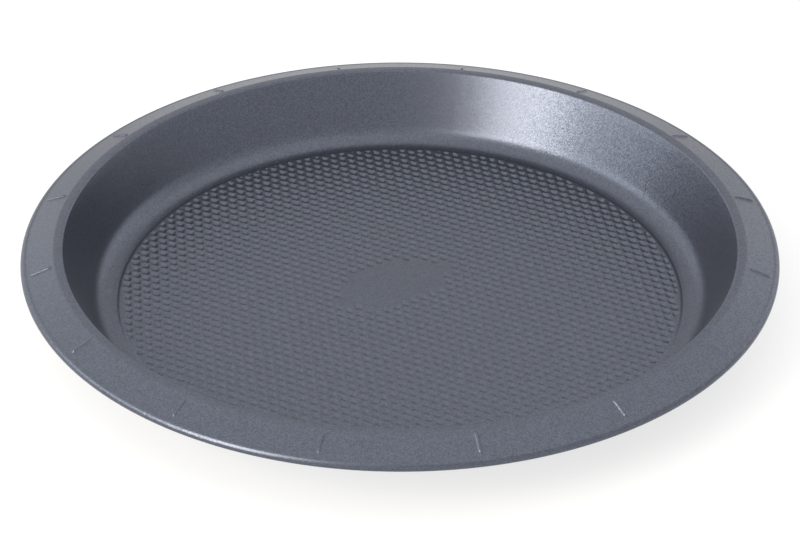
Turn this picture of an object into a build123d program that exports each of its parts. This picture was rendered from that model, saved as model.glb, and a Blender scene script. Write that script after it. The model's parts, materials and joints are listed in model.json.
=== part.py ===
from build123d import *
from math import acos, cos, degrees, radians, sin
import os

# Round, wide-rimmed baking dish pressed from one disc of coated steel sheet.
# Lengths are millimetres and angles are degrees.
# The origin is the centre of the circle that the dish stands on, and +Z points up.

# Overall sizes of the dish
dish_diameter = 310.0
dish_height = 30.0
rim_width = 16.3

# Sheet: the steel disc and the coat on each of its sides
steel_thickness = 0.6
coat_thickness = 0.15

# Floor: a panel pressed up a little, so that the dish stands on a flat ring round it
panel_rise = 0.35
panel_crown_bend = 2.1
panel_foot_bend = 1.5
standing_ring_width = 0.9

# Wall
corner_bend = 10.0
wall_draft = 24.0
shoulder_bend = 0.5

# Rim: a narrow ledge, a slope, and a neck that leads into the rolled edge
ledge_width = 2.2
ledge_slope = 4.0
slope_bend = 2.1
rim_slope = 20.0
neck_bend = 3.0
neck_slope = 3.0
roll_bend = 1.1
roll_turn = 250.0

# Ribs pressed up into the rim's slope, clear of the bends at both of its ends
rib_count = 16
rib_end_gap = 0.9
rib_height = 0.4
rib_punch_radius = 0.3


def arc_run(radius, slope_from, slope_to):
    """Horizontal run of an arc between two slopes of the sheet."""
    return radius * abs(sin(radians(slope_to)) - sin(radians(slope_from)))


def arc_rise(radius, slope_from, slope_to):
    """Vertical rise of an arc between two slopes of the sheet."""
    return radius * abs(cos(radians(slope_to)) - cos(radians(slope_from)))


# Depths of the sheet's faces below the inside face of the dish
sheet_thickness = steel_thickness + 2 * coat_thickness
inside_face = 0
steel_top_face = coat_thickness
steel_bottom_face = coat_thickness + steel_thickness
outside_face = sheet_thickness

# Bends that turn down have their tight side below, so they are wider on the inside face
crown_radius = panel_crown_bend + sheet_thickness
shoulder_radius = shoulder_bend + sheet_thickness
slope_radius = slope_bend + sheet_thickness
roll_radius = roll_bend + sheet_thickness

# Wall, worked out inwards from the mouth
mouth_radius = dish_diameter / 2 - rim_width
wall_angle = 90.0 - wall_draft
corner_rise = arc_rise(corner_bend, 0, wall_angle)
shoulder_rise = arc_rise(shoulder_radius, 0, wall_angle)
wall_rise = dish_height - sheet_thickness - corner_rise - shoulder_rise
wall_length = wall_rise / sin(radians(wall_angle))
wall_run = wall_length * cos(radians(wall_angle))
bends_run = arc_run(corner_bend, 0, wall_angle) + arc_run(shoulder_radius, 0, wall_angle)
corner_start_radius = mouth_radius - wall_run - bends_run

# Floor panel, inside the standing ring
step_angle = degrees(acos(1 - panel_rise / (crown_radius + panel_foot_bend)))
step_run = arc_run(crown_radius + panel_foot_bend, 0, step_angle)
panel_radius = corner_start_radius - standing_ring_width - step_run
panel_top = sheet_thickness + panel_rise

# Rim, worked out between the mouth and the rolled edge
ledge_start_radius = mouth_radius + arc_run(shoulder_radius, 0, ledge_slope)
ledge_run = ledge_width * cos(radians(ledge_slope))
slope_start_radius = ledge_start_radius + ledge_run + arc_run(slope_radius, ledge_slope, rim_slope)
roll_centre_radius = dish_diameter / 2 - roll_radius
roll_start_radius = roll_centre_radius + arc_run(roll_radius, 0, neck_slope)
slope_end_radius = roll_start_radius - arc_run(neck_bend, neck_slope, rim_slope)
slope_length = (slope_end_radius - slope_start_radius) / cos(radians(rim_slope))
rib_length = slope_length - 2 * rib_end_gap


def bend(before, tight_radius, turn, depth):
    """A bend that carries on from the line before it; it is tightest on the side it turns to."""
    grown = depth if turn > 0 else sheet_thickness - depth
    return JernArc(before @ 1, before % 1, tight_radius + grown, turn)


def straight(before, length):
    """A straight stretch that carries on from the bend before it."""
    return PolarLine(before @ 1, length, direction=before % 1)


def slope_line(depth):
    """One face of the sheet from the axis to the end of the rim's slope."""
    panel = Line((0, panel_top - depth), (panel_radius, panel_top - depth))
    crown = bend(panel, panel_crown_bend, -step_angle, depth)
    foot = bend(crown, panel_foot_bend, step_angle, depth)
    standing_ring = straight(foot, standing_ring_width)
    corner = bend(standing_ring, corner_bend, wall_angle, depth)
    wall = straight(corner, wall_length)
    shoulder = bend(wall, shoulder_bend, -(wall_angle + ledge_slope), depth)
    ledge = straight(shoulder, ledge_width)
    slope_top = bend(ledge, slope_bend, ledge_slope - rim_slope, depth)
    return straight(slope_top, slope_length)


def sheet_face_line(depth):
    """One face of the sheet from the axis to the end of the rolled edge; returns both ends."""
    slope = slope_line(depth)
    neck = bend(slope, neck_bend, rim_slope - neck_slope, depth)
    roll = bend(neck, roll_bend, -roll_turn, depth)
    return (0, panel_top - depth), roll @ 1


def sheet_section(top_depth, bottom_depth):
    """Closed outline of the part of the sheet that lies between two depths."""
    top_start, top_end = sheet_face_line(top_depth)
    bottom_start, bottom_end = sheet_face_line(bottom_depth)
    Line(top_start, bottom_start)
    Line(top_end, bottom_end)


# Rib: a bar with round ends that lies along the middle of the slope, below its inside face
with BuildLine(Plane.XZ):
    slope_middle = slope_line(inside_face)
rib_radius = rib_punch_radius + sheet_thickness
rib_axis_depth = rib_radius - rib_height
rib_half_width = (rib_radius**2 - rib_axis_depth**2) ** 0.5
rib_axis_length = rib_length - 2 * rib_half_width
rib_plane = Plane(origin=slope_middle @ 0.5, x_dir=(0, 1, 0), z_dir=slope_middle % 0.5)
rib_start_angle = 180.0 / rib_count


def rib_bar(depth):
    """The bar that bounds one rib at one depth of the sheet."""
    radius = rib_radius - depth
    with BuildPart(rib_plane) as bar:
        with Locations((0, -rib_axis_depth, 0)):
            Cylinder(radius, rib_axis_length)
        with Locations((0, -rib_axis_depth, -rib_axis_length / 2), (0, -rib_axis_depth, rib_axis_length / 2)):
            Sphere(radius)
    return bar.part


def rib_crest(top_depth, bottom_depth):
    """The part of the bar that stands out of a layer, cut off inside that layer."""
    cut_depth = (top_depth + bottom_depth) / 2
    cut = Plane(origin=rib_plane.from_local_coords((0, -cut_depth, 0)), z_dir=rib_plane.y_dir)
    with BuildPart() as crest:
        add(rib_bar(top_depth))
        split(bisect_by=cut, keep=Keep.TOP)
    return crest.part


# Non-stick coat on the inside, the rim and the outer side of the rolled edge
with BuildPart() as inner_coating:
    with BuildSketch(Plane.XZ):
        with BuildLine():
            sheet_section(inside_face, steel_top_face)
        make_face()
    revolve(axis=Axis.Z)
    with PolarLocations(0, rib_count, start_angle=rib_start_angle):
        add(rib_crest(inside_face, steel_top_face))
        add(rib_bar(steel_top_face), mode=Mode.SUBTRACT)

# Pressed steel sheet between the two coats, bare only at its cut edge inside the roll
with BuildPart() as steel_pan:
    with BuildSketch(Plane.XZ):
        with BuildLine():
            sheet_section(steel_top_face, steel_bottom_face)
        make_face()
    revolve(axis=Axis.Z)
    with PolarLocations(0, rib_count, start_angle=rib_start_angle):
        add(rib_crest(steel_top_face, steel_bottom_face))
        add(rib_bar(steel_bottom_face), mode=Mode.SUBTRACT)

# Coat on the underside, down to the ring that the dish stands on
with BuildPart() as outer_coating:
    with BuildSketch(Plane.XZ):
        with BuildLine():
            sheet_section(steel_bottom_face, outside_face)
        make_face()
    revolve(axis=Axis.Z)
    with PolarLocations(0, rib_count, start_angle=rib_start_angle):
        add(rib_crest(steel_bottom_face, outside_face))
        add(rib_bar(outside_face), mode=Mode.SUBTRACT)

inner_coating.part.label = "inner_coating"
steel_pan.part.label = "steel_pan"
outer_coating.part.label = "outer_coating"

os.makedirs("parts", exist_ok=True)
export_step(inner_coating.part, "parts/inner_coating.step")
export_step(steel_pan.part, "parts/steel_pan.step")
export_step(outer_coating.part, "parts/outer_coating.step")
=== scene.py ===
import json
from math import acos, cos, pi, radians, sin

import bpy
import numpy as np
from bpy.props import FloatProperty, FloatVectorProperty, IntProperty, PointerProperty
from mathutils import Matrix, Vector


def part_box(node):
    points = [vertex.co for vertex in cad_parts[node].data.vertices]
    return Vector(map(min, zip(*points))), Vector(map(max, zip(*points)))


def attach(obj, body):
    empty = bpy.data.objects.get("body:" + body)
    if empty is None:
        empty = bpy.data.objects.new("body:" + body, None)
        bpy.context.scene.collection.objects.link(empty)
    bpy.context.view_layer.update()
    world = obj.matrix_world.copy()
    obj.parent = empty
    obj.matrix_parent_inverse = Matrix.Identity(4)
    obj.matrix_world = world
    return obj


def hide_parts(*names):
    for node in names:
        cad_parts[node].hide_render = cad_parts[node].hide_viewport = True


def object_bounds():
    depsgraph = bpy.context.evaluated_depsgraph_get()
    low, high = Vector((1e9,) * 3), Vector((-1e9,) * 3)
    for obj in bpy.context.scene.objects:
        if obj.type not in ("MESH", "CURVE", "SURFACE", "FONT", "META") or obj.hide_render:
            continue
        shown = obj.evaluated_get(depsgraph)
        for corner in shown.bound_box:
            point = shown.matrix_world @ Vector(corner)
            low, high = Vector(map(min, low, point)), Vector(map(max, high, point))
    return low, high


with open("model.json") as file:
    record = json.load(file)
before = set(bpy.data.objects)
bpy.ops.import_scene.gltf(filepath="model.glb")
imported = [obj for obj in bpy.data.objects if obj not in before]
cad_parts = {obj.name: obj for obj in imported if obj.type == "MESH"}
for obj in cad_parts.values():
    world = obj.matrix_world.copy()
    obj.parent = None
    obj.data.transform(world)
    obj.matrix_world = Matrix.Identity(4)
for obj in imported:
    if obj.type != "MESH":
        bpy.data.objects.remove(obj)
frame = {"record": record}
cad_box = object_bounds()

bl_info = {
    "name": "Pie Dish",
    "version": (1, 0, 0),
    "blender": (4, 5, 0),
    "location": "3D View > Sidebar > Pie Dish",
    "description": "Builds a coated steel pie dish and the studio that it stands in",
    "category": "Object",
}

MM = 0.001

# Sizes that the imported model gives
DISH_RADIUS = cad_box[1].x
DISH_HEIGHT = cad_box[1].z
COAT_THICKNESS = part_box("steel_pan")[0].z
SHEET_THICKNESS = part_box("inner_coating")[0].z + COAT_THICKNESS


def slot_colour(slot):
    """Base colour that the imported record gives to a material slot."""
    return next(m["base_color"] for m in frame["record"]["materials"] if m["slot"] == slot)


def length(name, description, default):
    """A length that a user can change, in metres."""
    return FloatProperty(
        name=name, description=description, default=default, unit="LENGTH", precision=5
    )


def angle(name, description, default):
    """An angle that a user can change; the default is in degrees."""
    return FloatProperty(
        name=name, description=description, default=radians(default), unit="ROTATION"
    )


def amount(name, description, default):
    """A plain number that a user can change."""
    return FloatProperty(name=name, description=description, default=default, precision=3)


class DishSheetSizes(bpy.types.PropertyGroup):
    """Section of the pressed sheet, from the floor panel to the rolled edge."""

    mouth_diameter: length("Mouth", "Across the crest of the shoulder", 277.4 * MM)
    panel_rise: length("Panel rise", "Floor panel above the standing ring", 0.35 * MM)
    crown_bend: length("Panel crown bend", "Tight radius at the panel's upper edge", 2.1 * MM)
    foot_bend: length("Panel foot bend", "Tight radius at the panel's lower edge", 1.5 * MM)
    ring_width: length("Standing ring", "Flat ring that the dish stands on", 0.9 * MM)
    corner_bend: length("Corner bend", "Inside radius between floor and wall", 10 * MM)
    wall_draft: angle("Wall draft", "Lean of the wall from upright", 24)
    shoulder_bend: length("Shoulder bend", "Tight radius at the mouth", 0.5 * MM)
    ledge_width: length("Ledge width", "Narrow ledge round the mouth", 2.2 * MM)
    ledge_slope: angle("Ledge slope", "Fall of the ledge", 4)
    slope_bend: length("Slope bend", "Tight radius where the rim starts to fall", 2.1 * MM)
    rim_slope: angle("Rim slope", "Fall of the rim", 20)
    neck_bend: length("Neck bend", "Radius of the hollow before the rolled edge", 3 * MM)
    neck_slope: angle("Neck slope", "Fall of the sheet where the roll starts", 3)
    roll_bend: length("Roll bend", "Tight radius of the rolled edge", 1.1 * MM)
    roll_turn: angle("Roll turn", "How far the edge is rolled", 250)


class DishRibSizes(bpy.types.PropertyGroup):
    """Ribs pressed up into the slope of the rim."""

    count: IntProperty(name="Ribs", description="Ribs round the rim", default=16, min=1)
    rib_length: length("Rib length", "Along the slope", 9.3 * MM)
    rib_width: length("Rib width", "Over the feet of one rib", 1.8 * MM)
    rib_height: length("Rib height", "Above the slope", 0.65 * MM)


class DishPatternSizes(bpy.types.PropertyGroup):
    """Diamond pits pressed into the floor panel."""

    pitch: length("Pitch", "From one land to the next of its family", 3.92 * MM)
    first_heading: angle("First heading", "Direction across the first family of lands", 6)
    second_heading: angle("Second heading", "Direction across the second family of lands", 61.2)
    first_shift: amount("First shift", "Place of the first family, in pitches", 0.224)
    second_shift: amount("Second shift", "Place of the second family, in pitches", -0.2135)
    land_width: length("Land width", "Flat top of a land", 1.1 * MM)
    wall_width: length("Pit wall width", "Run of a pit's wall", 0.56 * MM)
    pit_depth: length("Pit depth", "Pit floor below the lands", 0.52 * MM)
    bump_share: amount("Bump share", "Height of the bumps underneath, over the pit depth", 0.55)
    field_radius: length("Field radius", "Circle that the pits end at", 114.5 * MM)
    border_width: length("Border width", "Wall of the pits that the circle cuts", 1 * MM)
    plate_length: length("Plate length", "Bare plate in the middle, along its heading", 56 * MM)
    plate_width: length("Plate width", "Bare plate in the middle, across its heading", 29 * MM)
    plate_heading: angle("Plate heading", "Direction of the bare plate's length", 32.6)
    plate_shift: length("Plate shift", "Middle of the plate across its heading", 5 * MM)


class DishLook(bpy.types.PropertyGroup):
    """Colours and finish of the coats and of the bare steel."""

    coat_colour: FloatVectorProperty(
        name="Coat colour",
        description="Blue-grey non-stick coat",
        subtype="COLOR",
        default=slot_colour("inner_coat"),
    )
    steel_colour: FloatVectorProperty(
        name="Steel colour",
        description="Bare steel at the cut edge",
        subtype="COLOR",
        default=slot_colour("steel"),
    )
    coat_metal: amount("Coat metal", "How metallic the coat is", 0.9)
    coat_roughness: amount("Coat roughness", "Roughness of the coat", 0.33)
    fleck_size: length("Fleck size", "Size of one metallic fleck", 0.42 * MM)
    fleck_tilt: amount("Fleck tilt", "How far the flecks lean", 0.07)
    fleck_contrast: amount("Fleck contrast", "Brightness range of the flecks", 0.22)
    smudge: amount("Smudge", "Uneven gloss over a hand's width", 0.05)


class DishStageSettings(bpy.types.PropertyGroup):
    """Camera and lamps."""

    camera_distance: length("Camera distance", "From the middle of the rim", 1085.7 * MM)
    rim_middle: length("Rim middle", "Height that the camera's place is measured from", 23.6 * MM)
    camera_elevation: angle("Camera elevation", "Above the horizon", 31.97)
    camera_dip: angle("Camera dip", "How far the camera aims below the middle of the rim", 0.51)
    camera_roll: angle("Camera roll", "Turn about the line of sight, clockwise", -0.1)
    camera_lens: amount("Lens", "Focal length in millimetres on a 36 mm sensor", 118.8)
    world_strength: amount("World strength", "Even light from all sides", 1.0)
    key_power: amount("Key lamp", "Power of the upright lamp at the front left, in watts", 28.5)
    key_colour: FloatVectorProperty(
        name="Key colour",
        description="A little warmer than the even light",
        subtype="COLOR",
        default=(1.0, 0.95, 0.86),
    )
    left_power: amount("Left lamp", "Power of the lamp at the left, in watts", 10.0)
    back_left_power: amount("Back left lamp", "Power of the lamp at the back left, in watts", 2.6)
    back_right_power: amount("Back right lamp", "Power of the lamp at the back right, in watts", 2.4)
    top_power: amount("Top lamp", "Power of the lamp overhead, in watts", 11.0)


def arc_run(radius, slope_from, slope_to):
    """Horizontal run of an arc between two slopes: radius times the difference of their sines."""
    return radius * abs(sin(slope_to) - sin(slope_from))


def arc_rise(radius, slope_from, slope_to):
    """Vertical rise of an arc between two slopes: radius times the difference of their cosines."""
    return radius * abs(cos(slope_to) - cos(slope_from))


class Sheet:
    """Places along the sheet's section that follow from its sizes."""

    def __init__(self, sizes):
        self.sizes = sizes
        crown = sizes.crown_bend + SHEET_THICKNESS
        shoulder = sizes.shoulder_bend + SHEET_THICKNESS
        slope_top = sizes.slope_bend + SHEET_THICKNESS
        roll = sizes.roll_bend + SHEET_THICKNESS
        self.wall_angle = pi / 2 - sizes.wall_draft
        corner_rise = arc_rise(sizes.corner_bend, 0, self.wall_angle)
        shoulder_rise = arc_rise(shoulder, 0, self.wall_angle)
        wall_rise = DISH_HEIGHT - SHEET_THICKNESS - corner_rise - shoulder_rise
        self.wall_length = wall_rise / sin(self.wall_angle)
        wall_run = self.wall_length * cos(self.wall_angle)
        bends_run = arc_run(sizes.corner_bend + shoulder, 0, self.wall_angle)
        corner_start = sizes.mouth_diameter / 2 - wall_run - bends_run
        self.step_angle = acos(1 - sizes.panel_rise / (crown + sizes.foot_bend))
        self.step_run = arc_run(crown + sizes.foot_bend, 0, self.step_angle)
        self.panel_radius = corner_start - sizes.ring_width - self.step_run
        self.panel_top = SHEET_THICKNESS + sizes.panel_rise
        ledge_start = sizes.mouth_diameter / 2 + arc_run(shoulder, 0, sizes.ledge_slope)
        ledge_run = sizes.ledge_width * cos(sizes.ledge_slope)
        slope_top_run = arc_run(slope_top, sizes.ledge_slope, sizes.rim_slope)
        slope_start = ledge_start + ledge_run + slope_top_run
        roll_start = DISH_RADIUS - roll + arc_run(roll, 0, sizes.neck_slope)
        slope_end = roll_start - arc_run(sizes.neck_bend, sizes.neck_slope, sizes.rim_slope)
        self.slope_length = (slope_end - slope_start) / cos(sizes.rim_slope)
        shoulder_fall = arc_rise(shoulder, 0, sizes.ledge_slope)
        ledge_fall = shoulder_fall + sizes.ledge_width * sin(sizes.ledge_slope)
        slope_top_fall = arc_rise(slope_top, sizes.ledge_slope, sizes.rim_slope)
        half_fall = self.slope_length / 2 * sin(sizes.rim_slope)
        self.rib_radius = (slope_start + slope_end) / 2
        self.rib_level = DISH_HEIGHT - ledge_fall - slope_top_fall - half_fall

    def moves(self):
        """The section outwards from the panel: length or tight radius, turn, and steps."""
        sizes = self.sizes
        roll_turn = sizes.roll_turn
        return [
            (sizes.crown_bend, -self.step_angle, 5),
            (sizes.foot_bend, self.step_angle, 5),
            (sizes.ring_width, 0, 2),
            (sizes.corner_bend, self.wall_angle, 10),
            (self.wall_length, 0, 6),
            (sizes.shoulder_bend, -(self.wall_angle + sizes.ledge_slope), 9),
            (sizes.ledge_width, 0, 2),
            (sizes.slope_bend, sizes.ledge_slope - sizes.rim_slope, 5),
            (self.slope_length, 0, 22),
            (sizes.neck_bend, sizes.rim_slope - sizes.neck_slope, 4),
            (sizes.roll_bend, -roll_turn, 24),
        ]

    def face(self, depth, start_radius):
        """Radius and height along one face of the sheet, as a chain of arcs and straight runs.

        An arc of signed radius R that starts at point p with heading a reaches, at heading b,
        the point p + R * (sin b - sin a, cos a - cos b). A straight run adds to its start
        its length * (cos a, sin a).
        """
        level = self.panel_top - depth
        points = [np.array([[start_radius, level], [self.panel_radius, level]])]
        heading = 0.0
        for size, turn, steps in self.moves():
            share = np.linspace(0, 1, steps + 1)[1:, None]
            last = points[-1][-1]
            if turn == 0:
                points.append(last + size * share * np.array([cos(heading), sin(heading)]))
                continue
            grown = size + (depth if turn > 0 else SHEET_THICKNESS - depth)
            bearing = heading + turn * share
            swing = np.hstack([np.sin(bearing) - sin(heading), cos(heading) - np.cos(bearing)])
            points.append(last + np.sign(turn) * grown * swing)
            heading += turn
        return np.concatenate(points)


# Steps round the dish over one rib and between two, and how far the close steps reach past a rib
STEPS_OVER_RIB = 12
STEPS_BETWEEN_RIBS = 14
REACH_PAST_RIB = 1.4


def rim_angles(ribs, foot_angle):
    """Bearings round the dish, close together over each rib and wider apart between the ribs."""
    sector = 2 * pi / ribs.count
    over = np.linspace(-foot_angle, foot_angle, STEPS_OVER_RIB + 1)[:-1]
    between = np.linspace(foot_angle, sector - foot_angle, STEPS_BETWEEN_RIBS + 1)[:-1]
    middles = sector * (np.arange(ribs.count) + 0.5)
    return (middles[:, None] + np.concatenate([over, between])).ravel()


def raise_ribs(points, bearings, sheet, ribs):
    """Lifts a grid of points along the slope's normal, by the height of the rib over each point.

    The lift is height * (1 - q * q) squared, where q is the distance from the rib's middle line
    over half the rib's width, and 1 beyond that.
    """
    slope = sheet.sizes.rim_slope
    sector = 2 * pi / ribs.count
    aside = (bearings % sector - sector / 2)[:, None]
    radius = np.hypot(points[..., 0], points[..., 1])
    across = radius * np.sin(aside)
    outwards = radius * np.cos(aside) - sheet.rib_radius
    along = outwards * cos(slope) - (points[..., 2] - sheet.rib_level) * sin(slope)
    half_width = ribs.rib_width / 2
    beyond = np.maximum(np.abs(along) - (ribs.rib_length / 2 - half_width), 0)
    q = np.minimum(np.hypot(across, beyond) / half_width, 1)
    lift = ribs.rib_height * (1 - q**2) ** 2
    east, north = sin(slope) * np.cos(bearings), sin(slope) * np.sin(bearings)
    normal = np.stack([east, north, np.full_like(bearings, cos(slope))], axis=-1)
    return points + lift[..., None] * normal[:, None, :]


def turned_grid(outline, sheet, ribs):
    """Turns an outline of radius and height about the axis: (r cos b, r sin b, z) at bearing b."""
    bearings = rim_angles(ribs, REACH_PAST_RIB * ribs.rib_width / 2 / sheet.rib_radius)
    radius, height = outline[:, 0], outline[:, 1]
    x = radius * np.cos(bearings)[:, None]
    y = radius * np.sin(bearings)[:, None]
    grid = np.stack([x, y, np.broadcast_to(height, x.shape)], axis=-1)
    return raise_ribs(grid, bearings, sheet, ribs)


def ring_faces(turns, count, closed):
    """Quads of a grid that is wrapped round the axis, and round its outline if that is closed."""
    steps = count if closed else count - 1
    turn, step = np.meshgrid(np.arange(turns), np.arange(steps), indexing="ij")
    after_turn, after_step = (turn + 1) % turns, (step + 1) % count
    corners = [turn * count + step, turn * count + after_step]
    corners += [after_turn * count + after_step, after_turn * count + step]
    return np.stack(corners, axis=-1).reshape(-1, 4)


# Shading breaks where two faces meet at more than this angle
SHARP_ANGLE = radians(45)


def add_piece(name, points, face_lists, material, node):
    """Makes a smooth-shaded mesh object of one piece of the dish, in place of its node."""
    mesh = bpy.data.meshes.new(name)
    faces = [corners for faces in face_lists for corners in faces.tolist()]
    mesh.from_pydata(points.tolist(), [], faces)
    mesh.shade_smooth()
    mesh.set_sharp_from_angle(angle=SHARP_ANGLE)
    mesh.materials.append(material)
    piece = bpy.data.objects.new(name, mesh)
    bpy.context.scene.collection.objects.link(piece)
    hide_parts(node)
    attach(piece, "root")
    return piece


def ring_shell(upper, lower, sheet, ribs):
    """Closed ring between two faces of the sheet: out along the upper, back along the lower."""
    grid = turned_grid(np.concatenate([upper, lower[::-1]]), sheet, ribs)
    return grid.reshape(-1, 3), ring_faces(grid.shape[0], grid.shape[1], closed=True)


def disc_shell(upper, lower, sheet, ribs):
    """Closed disc between two faces of the sheet, with a fan of triangles at each pole."""
    grid = turned_grid(np.concatenate([upper, lower[::-1]]), sheet, ribs)
    turns, count = grid.shape[:2]
    poles = np.array([[0, 0, upper[0, 1]], [0, 0, lower[0, 1]]])
    points = np.concatenate([grid.reshape(-1, 3), poles])
    turn = np.arange(turns)
    after = (turn + 1) % turns
    first_pole, last_pole = np.full(turns, turns * count), np.full(turns, turns * count + 1)
    top_fan = np.stack([first_pole, turn * count, after * count], axis=-1)
    bottom_fan = np.stack([last_pole, after * count + count - 1, turn * count + count - 1], axis=-1)
    return points, [ring_faces(turns, count, closed=False), top_fan, bottom_fan]


class Pattern:
    """The diamond pits: two families of lands that cross, and a pit in each cell between them."""

    def __init__(self, sizes):
        self.sizes = sizes
        headings = np.array([sizes.first_heading, sizes.second_heading])
        self.waves = np.stack([np.cos(headings), np.sin(headings)], axis=-1) / sizes.pitch
        self.shifts = np.array([sizes.first_shift, sizes.second_shift])
        self.land_share = sizes.land_width / 2 / sizes.pitch
        self.wall_share = sizes.wall_width / sizes.pitch

    def phases(self, flat):
        """Where points lie among the lands: whole numbers are the middles of the lands."""
        return flat @ self.waves.T + self.shifts

    def places(self, phases):
        """The points that lie at the given phases, the inverse of the above."""
        return (phases - self.shifts) @ np.linalg.inv(self.waves).T

    def in_plate(self, flat):
        """Whether points lie in the bare plate: a long hexagon with its points on its heading."""
        sizes = self.sizes
        heading = np.array([cos(sizes.plate_heading), sin(sizes.plate_heading)])
        aside = flat @ np.array([-heading[1], heading[0]]) - sizes.plate_shift
        along = np.abs(flat @ heading) / (sizes.plate_length / 2)
        across = np.abs(aside) / (sizes.plate_width / 2)
        return (across < 1) & (along + across / 2 < 1)

    def relief(self, flat):
        """Depth of the pits at points of the panel.

        In each cell it is pit depth * S(u) * S(v), where u and v are the distances from the nearest
        lands and S rises straight from 0 at a land's edge to 1 at the foot of the pit's wall.
        """
        phases = self.phases(flat)
        cells = np.floor(phases)
        aside = 0.5 - np.abs(phases - cells - 0.5)
        rise = np.clip((aside - self.land_share) / self.wall_share, 0, 1)
        bare = self.in_plate(self.places(cells + 0.5))
        return self.sizes.pit_depth * rise.prod(axis=1) * ~bare

    def net(self):
        """Points and quads of a net that follows the lands and covers the field of pits."""
        land, wall = self.land_share, self.wall_share
        lines = np.array([land, land + wall, 1 - land - wall, 1 - land])
        reach = int(self.sizes.field_radius / self.sizes.pitch) + 2
        phase = (np.arange(-reach, reach)[:, None] + lines).ravel()
        first, second = np.meshgrid(phase, phase, indexing="ij")
        flat = self.places(np.stack([first.ravel(), second.ravel()], axis=-1))
        corner = np.arange(len(flat)).reshape(len(phase), len(phase))
        near, far = corner[:-1], corner[1:]
        quads = np.stack([near[:, :-1], far[:, :-1], far[:, 1:], near[:, 1:]], axis=-1)
        return flat, quads.reshape(-1, 4)


def trim_to_circle(flat, quads, radius):
    """Cuts a flat net along a circle: whole triangles inside stay, and crossed ones are cut.

    Each crossed triangle has one corner on its own side of the circle. The two edges from that
    corner are cut where they meet the circle. Returns the points, the triangles, and the indices
    of the points on the circle in order of bearing.
    """
    triangles = np.concatenate([quads[:, [0, 1, 2]], quads[:, [0, 2, 3]]])
    distance = np.hypot(flat[:, 0], flat[:, 1])
    outside = distance > radius
    count = outside[triangles].sum(axis=1)
    crossed = triangles[(count == 1) | (count == 2)]
    lone_is_outside = outside[crossed].sum(axis=1) == 1
    lone = np.argmax(outside[crossed] == lone_is_outside[:, None], axis=1)
    a, b, c = np.take_along_axis(crossed, (lone[:, None] + np.arange(3)) % 3, axis=1).T
    edges = np.sort(np.concatenate([np.stack([a, b], axis=1), np.stack([a, c], axis=1)]), axis=1)
    edges, which = np.unique(edges, axis=0, return_inverse=True)
    which = which.ravel() + len(flat)
    start, end = distance[edges[:, 0]], distance[edges[:, 1]]
    share = ((radius - start) / (end - start))[:, None]
    cut = flat[edges[:, 0]] * (1 - share) + flat[edges[:, 1]] * share
    cut *= radius / np.hypot(cut[:, 0], cut[:, 1])[:, None]
    ab, ac = which[: len(a)], which[len(a) :]
    inner = ~lone_is_outside
    kept = np.concatenate(
        [
            triangles[count == 0],
            np.stack([a, ab, ac], axis=1)[inner],
            np.stack([ab, b, c], axis=1)[lone_is_outside],
            np.stack([ab, c, ac], axis=1)[lone_is_outside],
        ]
    )
    used, kept = np.unique(kept, return_inverse=True)
    kept = kept.reshape(-1, 3)
    points = np.concatenate([flat, cut])[used]
    rim = np.flatnonzero(used >= len(flat))
    return points, kept, rim[np.argsort(np.arctan2(points[rim, 1], points[rim, 0]))]


def pressed_plate(pattern, land_level, back_level):
    """Closed plate whose one face carries the pits and whose other face is flat.

    The pits go down from the land level. Where the circle cuts them, a short wall climbs to a
    smooth border ring, and a straight side and a flat fan close the plate. A plate whose flat face
    lies above its land level is the underside, where the pits show as lower bumps.
    """
    sizes = pattern.sizes
    underside = back_level > land_level
    flat, triangles, rim = trim_to_circle(*pattern.net(), sizes.field_radius)
    share = sizes.bump_share if underside else 1
    face = np.column_stack([flat, land_level - share * pattern.relief(flat)])
    border = flat[rim] * (1 + sizes.border_width / sizes.field_radius)
    levels = [np.full(len(rim), level) for level in (land_level, back_level)]
    rings = [np.column_stack([border, level]) for level in levels]
    points = np.concatenate([face, *rings, [[0, 0, back_level]]])
    upper = len(face) + np.arange(len(rim))
    lower = upper + len(rim)
    middle = np.full(len(rim), len(points) - 1)
    wall = np.stack([rim, upper, np.roll(upper, -1), np.roll(rim, -1)], axis=1)
    side = np.stack([upper, lower, np.roll(lower, -1), np.roll(upper, -1)], axis=1)
    fan = np.stack([lower, middle, np.roll(lower, -1)], axis=1)
    faces = [triangles, wall, side, fan]
    if underside:
        faces = [corners[:, ::-1] for corners in faces]
    return points, faces


# Cloud that makes the gloss uneven: its scale over a metre and its levels of detail
CLOUD_SCALE = 14.0
CLOUD_DETAIL = 3.0


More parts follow.
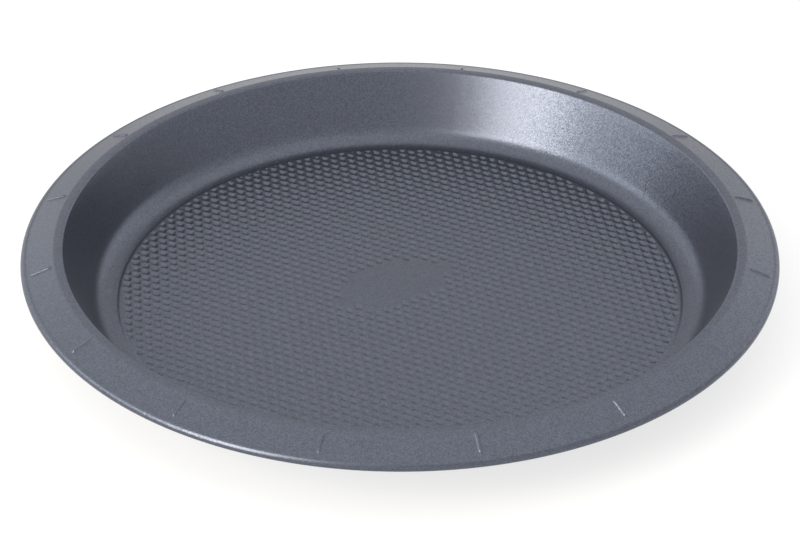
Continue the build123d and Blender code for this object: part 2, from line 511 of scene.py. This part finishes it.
def fleck_group():
    """Node group for flecked coats: each fleck has its own shade and leans its own way."""
    name = "Metallic fleck"
    if name in bpy.data.node_groups:
        return bpy.data.node_groups[name]
    group = bpy.data.node_groups.new(name, "ShaderNodeTree")
    sockets = {
        "Colour": "NodeSocketColor",
        "Roughness": "NodeSocketFloat",
        "Fleck size": "NodeSocketFloat",
        "Fleck tilt": "NodeSocketFloat",
        "Fleck contrast": "NodeSocketFloat",
        "Smudge": "NodeSocketFloat",
    }
    for socket, kind in sockets.items():
        group.interface.new_socket(socket, in_out="INPUT", socket_type=kind)
    for socket, kind in {"Colour": "NodeSocketColor", "Roughness": "NodeSocketFloat"}.items():
        group.interface.new_socket(socket, in_out="OUTPUT", socket_type=kind)
    group.interface.new_socket("Normal", in_out="OUTPUT", socket_type="NodeSocketVector")
    add, link = group.nodes.new, group.links.new
    given, result = add("NodeGroupInput"), add("NodeGroupOutput")
    place, geometry = add("ShaderNodeTexCoord"), add("ShaderNodeNewGeometry")

    count = add("ShaderNodeMath")
    count.operation = "DIVIDE"
    count.inputs[0].default_value = 1.0
    link(given.outputs["Fleck size"], count.inputs[1])
    flecks = add("ShaderNodeTexVoronoi")
    link(place.outputs["Object"], flecks.inputs["Vector"])
    link(count.outputs[0], flecks.inputs["Scale"])

    lean = add("ShaderNodeVectorMath")
    lean.operation = "SUBTRACT"
    lean.inputs[1].default_value = (0.5, 0.5, 0.5)
    link(flecks.outputs["Color"], lean.inputs[0])
    tilt = add("ShaderNodeVectorMath")
    tilt.operation = "SCALE"
    link(lean.outputs[0], tilt.inputs[0])
    link(given.outputs["Fleck tilt"], tilt.inputs["Scale"])
    leant = add("ShaderNodeVectorMath")
    leant.operation = "ADD"
    link(geometry.outputs["Normal"], leant.inputs[0])
    link(tilt.outputs[0], leant.inputs[1])
    unit = add("ShaderNodeVectorMath")
    unit.operation = "NORMALIZE"
    link(leant.outputs[0], unit.inputs[0])
    link(unit.outputs[0], result.inputs["Normal"])

    channel = add("ShaderNodeSeparateColor")
    link(flecks.outputs["Color"], channel.inputs[0])
    centred = add("ShaderNodeMath")
    centred.operation = "MULTIPLY_ADD"
    centred.inputs[1].default_value = 2.0
    centred.inputs[2].default_value = -1.0
    link(channel.outputs[0], centred.inputs[0])
    shade = add("ShaderNodeMath")
    shade.operation = "MULTIPLY_ADD"
    shade.inputs[2].default_value = 1.0
    link(centred.outputs[0], shade.inputs[0])
    link(given.outputs["Fleck contrast"], shade.inputs[1])
    shaded = add("ShaderNodeVectorMath")
    shaded.operation = "SCALE"
    link(given.outputs["Colour"], shaded.inputs[0])
    link(shade.outputs[0], shaded.inputs["Scale"])
    link(shaded.outputs[0], result.inputs["Colour"])

    cloud = add("ShaderNodeTexNoise")
    cloud.inputs["Scale"].default_value = CLOUD_SCALE
    cloud.inputs["Detail"].default_value = CLOUD_DETAIL
    link(place.outputs["Object"], cloud.inputs["Vector"])
    uneven = add("ShaderNodeMath")
    uneven.operation = "SUBTRACT"
    uneven.inputs[1].default_value = 0.5
    link(cloud.outputs[0], uneven.inputs[0])
    rough = add("ShaderNodeMath")
    rough.operation = "MULTIPLY_ADD"
    link(uneven.outputs[0], rough.inputs[0])
    link(given.outputs["Smudge"], rough.inputs[1])
    link(given.outputs["Roughness"], rough.inputs[2])
    link(rough.outputs[0], result.inputs["Roughness"])
    return group


def flecked_material(name, colour, metal, roughness, tilt, contrast, look):
    """A metallic material with flecks."""
    material = bpy.data.materials.new(name)
    material.use_nodes = True
    nodes, links = material.node_tree.nodes, material.node_tree.links
    shader = nodes["Principled BSDF"]
    shader.inputs["Metallic"].default_value = metal
    fleck = nodes.new("ShaderNodeGroup")
    fleck.node_tree = fleck_group()
    fleck.inputs["Colour"].default_value = (*colour, 1)
    fleck.inputs["Roughness"].default_value = roughness
    fleck.inputs["Fleck size"].default_value = look.fleck_size
    fleck.inputs["Fleck tilt"].default_value = tilt
    fleck.inputs["Fleck contrast"].default_value = contrast
    fleck.inputs["Smudge"].default_value = look.smudge
    links.new(fleck.outputs["Colour"], shader.inputs["Base Color"])
    links.new(fleck.outputs["Roughness"], shader.inputs["Roughness"])
    links.new(fleck.outputs["Normal"], shader.inputs["Normal"])
    return material


def coat_material():
    """Semi-gloss blue-grey coat with a metallic fleck, shared by both coats."""
    name = "Flecked coat"
    if name in bpy.data.materials:
        return bpy.data.materials[name]
    look = bpy.context.scene.dish_look
    finish = (look.coat_metal, look.coat_roughness, look.fleck_tilt, look.fleck_contrast)
    return flecked_material(name, look.coat_colour, *finish, look)


# Finish of the bare steel: metal, roughness, and the tilt and contrast of its flecks
STEEL_FINISH = (1.0, 0.35, 0.08, 0.05)


def steel_material():
    """Cold-rolled steel, bare only where it was cut."""
    look = bpy.context.scene.dish_look
    return flecked_material("Bare steel", look.steel_colour, *STEEL_FINISH, look)


def dish_parts():
    """The sheet, the ribs, the pattern and the radius of its border, from the scene's sizes."""
    scene = bpy.context.scene
    pattern = Pattern(scene.dish_pattern)
    border = scene.dish_pattern.field_radius + scene.dish_pattern.border_width
    return Sheet(scene.dish_sheet), scene.dish_ribs, pattern, border


# Levels of the hidden flat faces between the layers of the floor panel, as shares of the sheet
COAT_BACK_SHARE = 0.72
STEEL_BACK_SHARE = 0.86


class DISH_OT_coat_inside(bpy.types.Operator):
    """Makes the coat of the inside: the pressed floor, and the wall, rim and rolled edge"""

    bl_idname = "dish.coat_inside"
    bl_label = "Coat the inside"

    def execute(self, context):
        sheet, ribs, pattern, border = dish_parts()
        coat = coat_material()
        upper = sheet.face(0, border)
        lower = sheet.face(COAT_THICKNESS, border)
        points, faces = ring_shell(upper, lower, sheet, ribs)
        add_piece("inner_coating_wall", points, [faces], coat, "inner_coating")
        back = sheet.panel_top - SHEET_THICKNESS * COAT_BACK_SHARE
        points, faces = pressed_plate(pattern, sheet.panel_top, back)
        add_piece("inner_coating_floor", points, faces, coat, "inner_coating")
        return {"FINISHED"}


class DISH_OT_coat_outside(bpy.types.Operator):
    """Makes the coat of the underside: the pressed floor, and the wall and rim"""

    bl_idname = "dish.coat_outside"
    bl_label = "Coat the outside"

    def execute(self, context):
        sheet, ribs, pattern, border = dish_parts()
        coat = coat_material()
        upper = sheet.face(SHEET_THICKNESS - COAT_THICKNESS, border)
        lower = sheet.face(SHEET_THICKNESS, border)
        points, faces = ring_shell(upper, lower, sheet, ribs)
        add_piece("outer_coating_wall", points, [faces], coat, "outer_coating")
        back = sheet.panel_top - SHEET_THICKNESS * STEEL_BACK_SHARE
        points, faces = pressed_plate(pattern, sheet.panel_top - SHEET_THICKNESS, back)
        add_piece("outer_coating_floor", points, faces, coat, "outer_coating")
        return {"FINISHED"}


class DISH_OT_press_steel(bpy.types.Operator):
    """Makes the steel sheet between the coats, which shows at its cut edge inside the roll"""

    bl_idname = "dish.press_steel"
    bl_label = "Press the steel"

    def execute(self, context):
        sheet, ribs, pattern, border = dish_parts()
        outer_depth = SHEET_THICKNESS - COAT_THICKNESS
        layers = [(COAT_THICKNESS, COAT_BACK_SHARE), (outer_depth, STEEL_BACK_SHARE)]
        outlines = []
        for depth, share in layers:
            step = (border, sheet.panel_top - SHEET_THICKNESS * share)
            outlines.append(np.vstack([step, sheet.face(depth, border)]))
        points, faces = disc_shell(*outlines, sheet, ribs)
        add_piece("pressed_steel", points, faces, steel_material(), "steel_pan")
        return {"FINISHED"}


def white_backdrop(tree, shader_output, surface, share):
    """Mixes a surface with plain white for camera, glossy and transmission rays."""
    nodes, links = tree.nodes, tree.links
    path = nodes.new("ShaderNodeLightPath")
    seen = nodes.new("ShaderNodeMath")
    seen.operation = "MAXIMUM"
    links.new(path.outputs["Is Camera Ray"], seen.inputs[0])
    links.new(path.outputs["Is Glossy Ray"], seen.inputs[1])
    seen_through = nodes.new("ShaderNodeMath")
    seen_through.operation = "MAXIMUM"
    links.new(seen.outputs[0], seen_through.inputs[0])
    links.new(path.outputs["Is Transmission Ray"], seen_through.inputs[1])
    part = nodes.new("ShaderNodeMath")
    part.operation = "MULTIPLY"
    part.inputs[1].default_value = share
    links.new(seen_through.outputs[0], part.inputs[0])
    in_world = surface.bl_idname == "ShaderNodeBackground"
    white = nodes.new("ShaderNodeBackground" if in_world else "ShaderNodeEmission")
    white.inputs["Color"].default_value = (1, 1, 1, 1)
    white.inputs["Strength"].default_value = 1.0
    mix = nodes.new("ShaderNodeMixShader")
    links.new(part.outputs[0], mix.inputs[0])
    links.new(surface.outputs[0], mix.inputs[1])
    links.new(white.outputs[0], mix.inputs[2])
    links.new(mix.outputs[0], shader_output.inputs["Surface"])


# Studio floor: half its width in metres, its grey and roughness, and how much of it is plain white
FLOOR_HALF = 4.0
FLOOR_GREY = 0.9
FLOOR_ROUGHNESS = 0.9
FLOOR_WHITE = 0.7


def add_floor():
    """Large pale floor that the dish stands on."""
    corners = [(x * FLOOR_HALF, y * FLOOR_HALF, 0) for x, y in ((-1, -1), (1, -1), (1, 1), (-1, 1))]
    mesh = bpy.data.meshes.new("studio_floor")
    mesh.from_pydata(corners, [], [(0, 1, 2, 3)])
    material = bpy.data.materials.new("Studio floor")
    material.use_nodes = True
    nodes = material.node_tree.nodes
    shader = nodes["Principled BSDF"]
    shader.inputs["Base Color"].default_value = (FLOOR_GREY, FLOOR_GREY, FLOOR_GREY, 1)
    shader.inputs["Roughness"].default_value = FLOOR_ROUGHNESS
    white_backdrop(material.node_tree, nodes["Material Output"], shader, FLOOR_WHITE)
    mesh.materials.append(material)
    floor = bpy.data.objects.new("studio_floor", mesh)
    bpy.context.scene.collection.objects.link(floor)


# Width of the camera's sensor in millimetres
SENSOR_WIDTH = 36.0

# Lamps: direction from the dish, and distance, width and height in metres
LAMPS = {
    "key": ((-0.73, -0.68, 0.42), 1.6, 0.74, 1.3),
    "left": ((-1.0, -0.1, 0.4), 1.8, 1.4, 1.0),
    "back_left": ((-0.75, 0.65, 0.4), 1.8, 1.4, 1.0),
    "back_right": ((0.75, 0.65, 0.4), 1.8, 1.4, 1.0),
    "top": ((0.0, 0.1, 1.0), 1.8, 3.0, 3.0),
}


def add_lamp(name, direction, distance, width, height, power):
    """Area lamp that faces the dish from a direction."""
    lamp = bpy.data.lights.new(name, "AREA")
    lamp.shape = "RECTANGLE"
    lamp.size, lamp.size_y, lamp.energy = width, height, power
    holder = bpy.data.objects.new(name, lamp)
    towards = Vector(direction).normalized()
    holder.location = towards * distance
    holder.rotation_euler = towards.to_track_quat("Z", "Y").to_euler()
    bpy.context.scene.collection.objects.link(holder)


class DISH_OT_set_stage(bpy.types.Operator):
    """Adds the floor, the lamps, the even light and the camera"""

    bl_idname = "dish.set_stage"
    bl_label = "Set the stage"

    def execute(self, context):
        scene = context.scene
        stage = scene.dish_stage
        add_floor()
        for name, place in LAMPS.items():
            add_lamp(f"{name}_lamp", *place, getattr(stage, f"{name}_power"))
        bpy.data.lights["key_lamp"].color = stage.key_colour
        world = bpy.data.worlds.new("Studio")
        scene.world = world
        world.use_nodes = True
        nodes = world.node_tree.nodes
        even = nodes["Background"]
        even.inputs["Color"].default_value = (1, 1, 1, 1)
        even.inputs["Strength"].default_value = stage.world_strength
        white_backdrop(world.node_tree, nodes["World Output"], even, 1.0)
        scene.view_settings.view_transform = "Standard"

        camera = bpy.data.cameras.new("studio_camera")
        camera.lens = stage.camera_lens
        camera.sensor_width = SENSOR_WIDTH
        holder = bpy.data.objects.new("studio_camera", camera)
        elevation = stage.camera_elevation
        back = Vector((0, -cos(elevation), sin(elevation)))
        holder.location = Vector((0, 0, stage.rim_middle)) + back * stage.camera_distance
        aim = Matrix.Rotation(pi / 2 - elevation - stage.camera_dip, 3, "X")
        holder.rotation_euler = (aim @ Matrix.Rotation(-stage.camera_roll, 3, "Z")).to_euler()
        scene.collection.objects.link(holder)
        scene.camera = holder
        return {"FINISHED"}


class DISH_PT_sidebar(bpy.types.Panel):
    """Sizes, colours and steps of the pie dish"""

    bl_label = "Pie Dish"
    bl_space_type = "VIEW_3D"
    bl_region_type = "UI"
    bl_category = "Pie Dish"

    def draw(self, context):
        for group in GROUPS:
            box = self.layout.box()
            settings = getattr(context.scene, group)
            box.label(text=settings.bl_rna.description)
            for name in settings.__annotations__:
                box.prop(settings, name)
        for operator in OPERATORS:
            self.layout.operator(operator.bl_idname)


GROUPS = {
    "dish_sheet": DishSheetSizes,
    "dish_ribs": DishRibSizes,
    "dish_pattern": DishPatternSizes,
    "dish_look": DishLook,
    "dish_stage": DishStageSettings,
}
OPERATORS = [DISH_OT_press_steel, DISH_OT_coat_inside, DISH_OT_coat_outside, DISH_OT_set_stage]


def register():
    """Adds the sizes, the operators and the panel to Blender."""
    for group, kind in GROUPS.items():
        bpy.utils.register_class(kind)
        setattr(bpy.types.Scene, group, PointerProperty(type=kind))
    for kind in [*OPERATORS, DISH_PT_sidebar]:
        bpy.utils.register_class(kind)


def unregister():
    """Takes them out again."""
    for kind in [DISH_PT_sidebar, *reversed(OPERATORS)]:
        bpy.utils.unregister_class(kind)
    for group, kind in reversed(GROUPS.items()):
        delattr(bpy.types.Scene, group)
        bpy.utils.unregister_class(kind)


def main():
    """Builds the dish piece by piece and sets the stage."""
    register()
    bpy.ops.dish.press_steel()
    bpy.ops.dish.coat_inside()
    bpy.ops.dish.coat_outside()
    bpy.ops.dish.set_stage()


if __name__ == "__main__":
    main()
